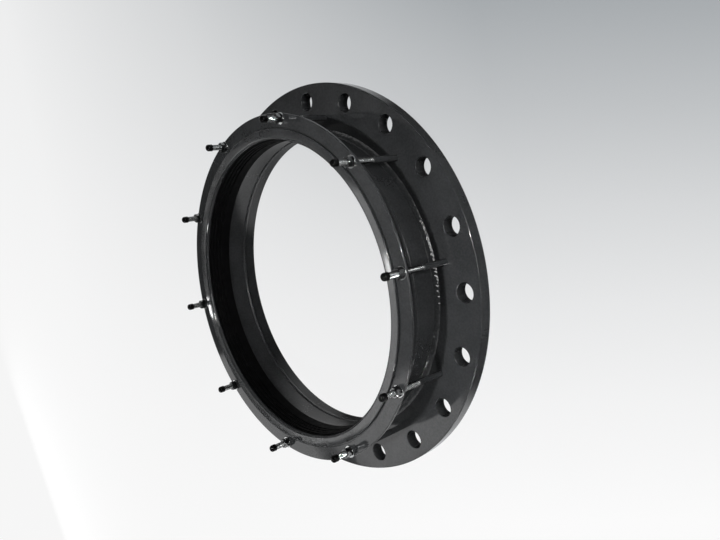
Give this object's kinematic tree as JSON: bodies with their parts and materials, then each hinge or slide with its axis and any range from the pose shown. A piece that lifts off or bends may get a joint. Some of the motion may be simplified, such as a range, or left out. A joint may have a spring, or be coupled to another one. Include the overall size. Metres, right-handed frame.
{
  "type": "flange adaptor",
  "caption": "Pipe flange adaptor: drilled flange with welded flared sleeve, wedge gasket and a stud-tightened end ring.",
  "frame": {"origin": "centre of the flange's flat mating face", "axes": "+Z along the pipe axis from the flange towards the end ring, +X through the first stud"},
  "size_m": [0.84, 0.84, 0.1845],
  "materials": {
    "coated_steel": "smooth black polymer coating, half gloss",
    "coated_ring": "smooth black polymer coating, half gloss",
    "gasket_rubber": "satin moulded rubber",
    "plated_stud": "zinc plated thread, foot coated black",
    "zinc_washer": "bright zinc plate",
    "zinc_nut": "bright zinc plate",
    "cap_plastic": "soft glossy vinyl"
  },
  "bodies": {
    "sleeve": {"flanged_sleeve": "coated_steel", "gasket": "gasket_rubber", "stud_01": "plated_stud", "stud_02": "plated_stud", "stud_03": "plated_stud", "stud_04": "plated_stud", "stud_05": "plated_stud", "stud_06": "plated_stud", "stud_07": "plated_stud", "stud_08": "plated_stud", "stud_09": "plated_stud", "stud_10": "plated_stud"},
    "clamp_ring": {"end_ring": "coated_ring", "washer_01": "zinc_washer", "washer_02": "zinc_washer", "washer_03": "zinc_washer", "washer_04": "zinc_washer", "washer_05": "zinc_washer", "washer_06": "zinc_washer", "washer_07": "zinc_washer", "washer_08": "zinc_washer", "washer_09": "zinc_washer", "washer_10": "zinc_washer"},
    "nut_01": {"nut_01": "zinc_nut"},
    "nut_02": {"nut_02": "zinc_nut"},
    "nut_03": {"nut_03": "zinc_nut"},
    "nut_04": {"nut_04": "zinc_nut"},
    "nut_05": {"nut_05": "zinc_nut"},
    "nut_06": {"nut_06": "zinc_nut"},
    "nut_07": {"nut_07": "zinc_nut"},
    "nut_08": {"nut_08": "zinc_nut"},
    "nut_09": {"nut_09": "zinc_nut"},
    "nut_10": {"nut_10": "zinc_nut"},
    "thread_cap_01": {"thread_cap_01": "cap_plastic"},
    "thread_cap_02": {"thread_cap_02": "cap_plastic"},
    "thread_cap_03": {"thread_cap_03": "cap_plastic"},
    "thread_cap_04": {"thread_cap_04": "cap_plastic"},
    "thread_cap_05": {"thread_cap_05": "cap_plastic"},
    "thread_cap_06": {"thread_cap_06": "cap_plastic"},
    "thread_cap_07": {"thread_cap_07": "cap_plastic"},
    "thread_cap_08": {"thread_cap_08": "cap_plastic"},
    "thread_cap_09": {"thread_cap_09": "cap_plastic"},
    "thread_cap_10": {"thread_cap_10": "cap_plastic"}
  },
  "joints": [
    {"name": "ring_draw", "type": "slide", "parent": "sleeve", "child": "clamp_ring", "axis": [0, 0, -1], "range_m": [0, 0.008], "deforming": ["gasket"]},
    {"name": "nut_turn_01", "type": "hinge", "parent": "clamp_ring", "child": "nut_01", "pos_m": [0.35, 0, 0.14], "axis": [0, 0, -1], "range_deg": [0, 1646]},
    {"name": "nut_turn_02", "type": "hinge", "parent": "clamp_ring", "child": "nut_02", "pos_m": [0.28316, 0.20572, 0.14], "axis": [0, 0, -1], "range_deg": [0, 1646]},
    {"name": "nut_turn_03", "type": "hinge", "parent": "clamp_ring", "child": "nut_03", "pos_m": [0.10816, 0.33287, 0.14], "axis": [0, 0, -1], "range_deg": [0, 1646]},
    {"name": "nut_turn_04", "type": "hinge", "parent": "clamp_ring", "child": "nut_04", "pos_m": [-0.10816, 0.33287, 0.14], "axis": [0, 0, -1], "range_deg": [0, 1646]},
    {"name": "nut_turn_05", "type": "hinge", "parent": "clamp_ring", "child": "nut_05", "pos_m": [-0.28316, 0.20572, 0.14], "axis": [0, 0, -1], "range_deg": [0, 1646]},
    {"name": "nut_turn_06", "type": "hinge", "parent": "clamp_ring", "child": "nut_06", "pos_m": [-0.35, 0, 0.14], "axis": [0, 0, -1], "range_deg": [0, 1646]},
    {"name": "nut_turn_07", "type": "hinge", "parent": "clamp_ring", "child": "nut_07", "pos_m": [-0.28316, -0.20572, 0.14], "axis": [0, 0, -1], "range_deg": [0, 1646]},
    {"name": "nut_turn_08", "type": "hinge", "parent": "clamp_ring", "child": "nut_08", "pos_m": [-0.10816, -0.33287, 0.14], "axis": [0, 0, -1], "range_deg": [0, 1646]},
    {"name": "nut_turn_09", "type": "hinge", "parent": "clamp_ring", "child": "nut_09", "pos_m": [0.10816, -0.33287, 0.14], "axis": [0, 0, -1], "range_deg": [0, 1646]},
    {"name": "nut_turn_10", "type": "hinge", "parent": "clamp_ring", "child": "nut_10", "pos_m": [0.28316, -0.20572, 0.14], "axis": [0, 0, -1], "range_deg": [0, 1646]},
    {"name": "cap_pull_01", "type": "slide", "parent": "sleeve", "child": "thread_cap_01", "axis": [0, 0, 1], "range_m": [0, 0.03]},
    {"name": "cap_pull_02", "type": "slide", "parent": "sleeve", "child": "thread_cap_02", "axis": [0, 0, 1], "range_m": [0, 0.03]},
    {"name": "cap_pull_03", "type": "slide", "parent": "sleeve", "child": "thread_cap_03", "axis": [0, 0, 1], "range_m": [0, 0.03]},
    {"name": "cap_pull_04", "type": "slide", "parent": "sleeve", "child": "thread_cap_04", "axis": [0, 0, 1], "range_m": [0, 0.03]},
    {"name": "cap_pull_05", "type": "slide", "parent": "sleeve", "child": "thread_cap_05", "axis": [0, 0, 1], "range_m": [0, 0.03]},
    {"name": "cap_pull_06", "type": "slide", "parent": "sleeve", "child": "thread_cap_06", "axis": [0, 0, 1], "range_m": [0, 0.03]},
    {"name": "cap_pull_07", "type": "slide", "parent": "sleeve", "child": "thread_cap_07", "axis": [0, 0, 1], "range_m": [0, 0.03]},
    {"name": "cap_pull_08", "type": "slide", "parent": "sleeve", "child": "thread_cap_08", "axis": [0, 0, 1], "range_m": [0, 0.03]},
    {"name": "cap_pull_09", "type": "slide", "parent": "sleeve", "child": "thread_cap_09", "axis": [0, 0, 1], "range_m": [0, 0.03]},
    {"name": "cap_pull_10", "type": "slide", "parent": "sleeve", "child": "thread_cap_10", "axis": [0, 0, 1], "range_m": [0, 0.03]}
  ],
  "couplings": [
    {"joint": "nut_turn_01", "follows": "ring_draw", "rad_per_m": 3590.4},
    {"joint": "nut_turn_02", "follows": "ring_draw", "rad_per_m": 3590.4},
    {"joint": "nut_turn_03", "follows": "ring_draw", "rad_per_m": 3590.4},
    {"joint": "nut_turn_04", "follows": "ring_draw", "rad_per_m": 3590.4},
    {"joint": "nut_turn_05", "follows": "ring_draw", "rad_per_m": 3590.4},
    {"joint": "nut_turn_06", "follows": "ring_draw", "rad_per_m": 3590.4},
    {"joint": "nut_turn_07", "follows": "ring_draw", "rad_per_m": 3590.4},
    {"joint": "nut_turn_08", "follows": "ring_draw", "rad_per_m": 3590.4},
    {"joint": "nut_turn_09", "follows": "ring_draw", "rad_per_m": 3590.4},
    {"joint": "nut_turn_10", "follows": "ring_draw", "rad_per_m": 3590.4}
  ]
}
